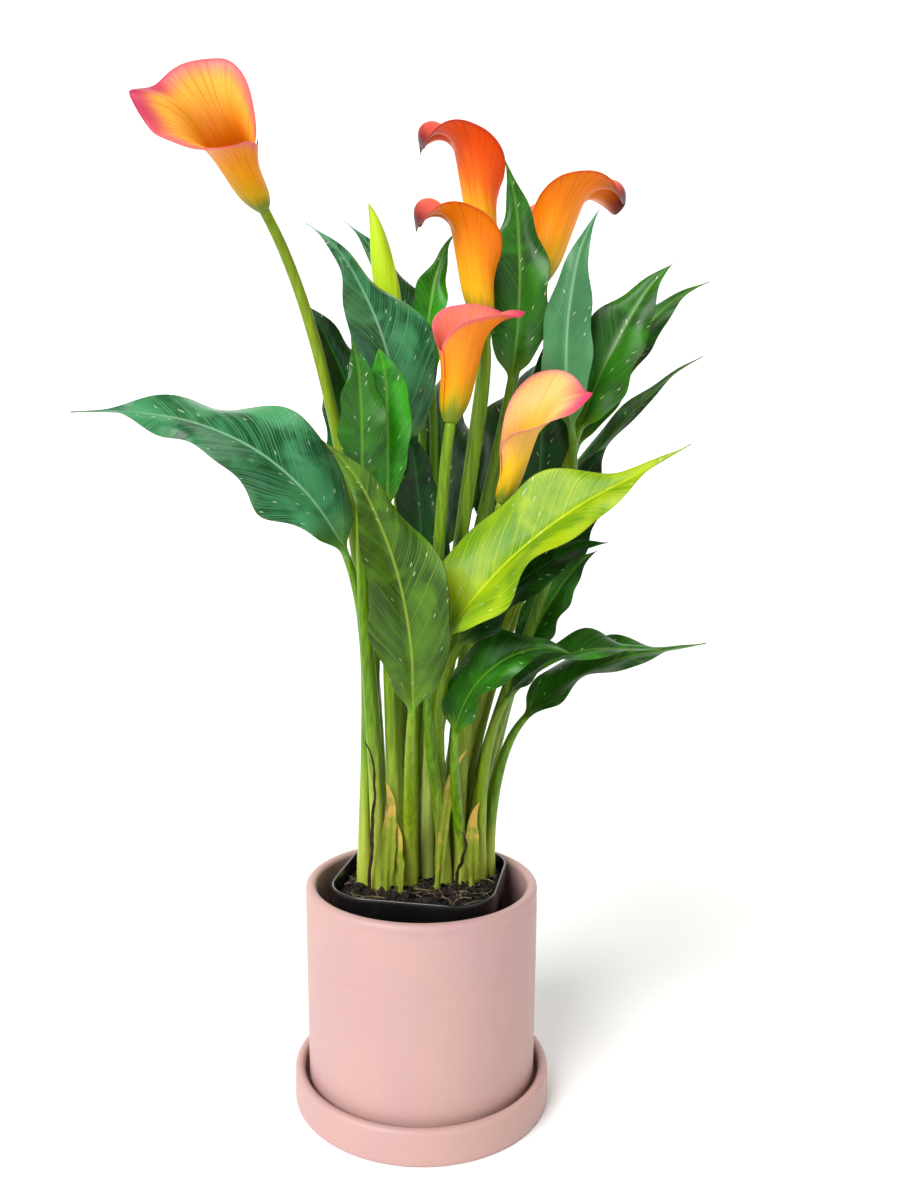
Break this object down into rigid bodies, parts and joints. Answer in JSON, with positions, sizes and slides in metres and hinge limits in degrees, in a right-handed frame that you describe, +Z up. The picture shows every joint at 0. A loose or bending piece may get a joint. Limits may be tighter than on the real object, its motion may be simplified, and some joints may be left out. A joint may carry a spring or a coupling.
{
  "type": "potted calla lily",
  "caption": "Potted calla lily: orange and yellow rolled flowers and lance leaves in a black nursery pot, inside a pale pink ceramic cover pot on a saucer.",
  "frame": {"origin": "centre of the saucer's flat underside", "axes": "+Z up, +X to the right and +Y to the back as the plant is seen from its front"},
  "size_m": [0.3467, 0.2109, 0.5502],
  "materials": {
    "bud": "satin yellow-green",
    "ceramic_pink": "matt glazed, pale pink",
    "dry_strand": "dry and brown",
    "leaf_dark": "glossy, dark blue-green",
    "leaf_green": "satin, deep green with pale veins and flecks",
    "leaf_lime": "satin, yellow-green",
    "leaf_pale": "matt grey-green underside",
    "plastic_black": "satin black",
    "sheath": "dry, papery, yellowed",
    "soil": "moist, crumbly potting mix",
    "spadix": "matt, finely beaded",
    "spathe_orange": "soft satin, deep orange with dark red edge",
    "spathe_peach": "soft satin, peach with pink tip",
    "spathe_yellow": "soft satin, yellow-orange with pink edge",
    "stem": "satin olive green",
    "tuber": "rough brown skin"
  },
  "bodies": {
    "root": {"leaf_far_left": "leaf_dark", "leaf_front_left": "leaf_green", "leaf_lime": "leaf_lime", "leaf_under_lime": "leaf_dark", "leaf_front_centre": "leaf_green", "leaf_low_front": "leaf_green", "leaf_low_right": "leaf_green", "leaf_right_mid": "leaf_green", "leaf_right_back": "leaf_dark", "leaf_right_narrow": "leaf_green", "leaf_upright_right": "leaf_pale", "leaf_right_tall": "leaf_green", "leaf_right_far": "leaf_green", "leaf_centre_tall": "leaf_green", "leaf_centre_narrow": "leaf_green", "leaf_big_glossy": "leaf_dark", "leaf_behind_bud": "leaf_green", "leaf_left_dark": "leaf_dark", "leaf_left_oval": "leaf_dark", "leaf_left_bright": "leaf_lime", "leaf_centre_dark": "leaf_dark", "leaf_left_back": "leaf_dark", "leaf_back_centre": "leaf_dark", "leaf_back_right": "leaf_dark", "leaf_right_dark": "leaf_dark", "flower_left_spathe": "spathe_yellow", "flower_left_spadix": "spadix", "flower_left_stem": "stem", "flower_top_spathe": "spathe_orange", "flower_top_spadix": "spadix", "flower_top_stem": "stem", "flower_middle_spathe": "spathe_orange", "flower_middle_spadix": "spadix", "flower_middle_stem": "stem", "flower_right_spathe": "spathe_orange", "flower_right_spadix": "spadix", "flower_right_stem": "stem", "flower_front_spathe": "spathe_orange", "flower_front_spadix": "spadix", "flower_front_stem": "stem", "flower_low_spathe": "spathe_peach", "flower_low_spadix": "spadix", "flower_low_stem": "stem", "bud_spathe": "bud", "bud_stem": "stem", "sheath_left": "sheath", "sheath_middle": "sheath", "sheath_front": "sheath", "sheath_right": "sheath", "dry_strand_left": "dry_strand", "dry_strand_right": "dry_strand", "tuber_1": "tuber", "tuber_2": "tuber", "soil": "soil", "nursery_pot": "plastic_black", "cover_pot": "ceramic_pink", "saucer": "ceramic_pink"}
  },
  "joints": []
}
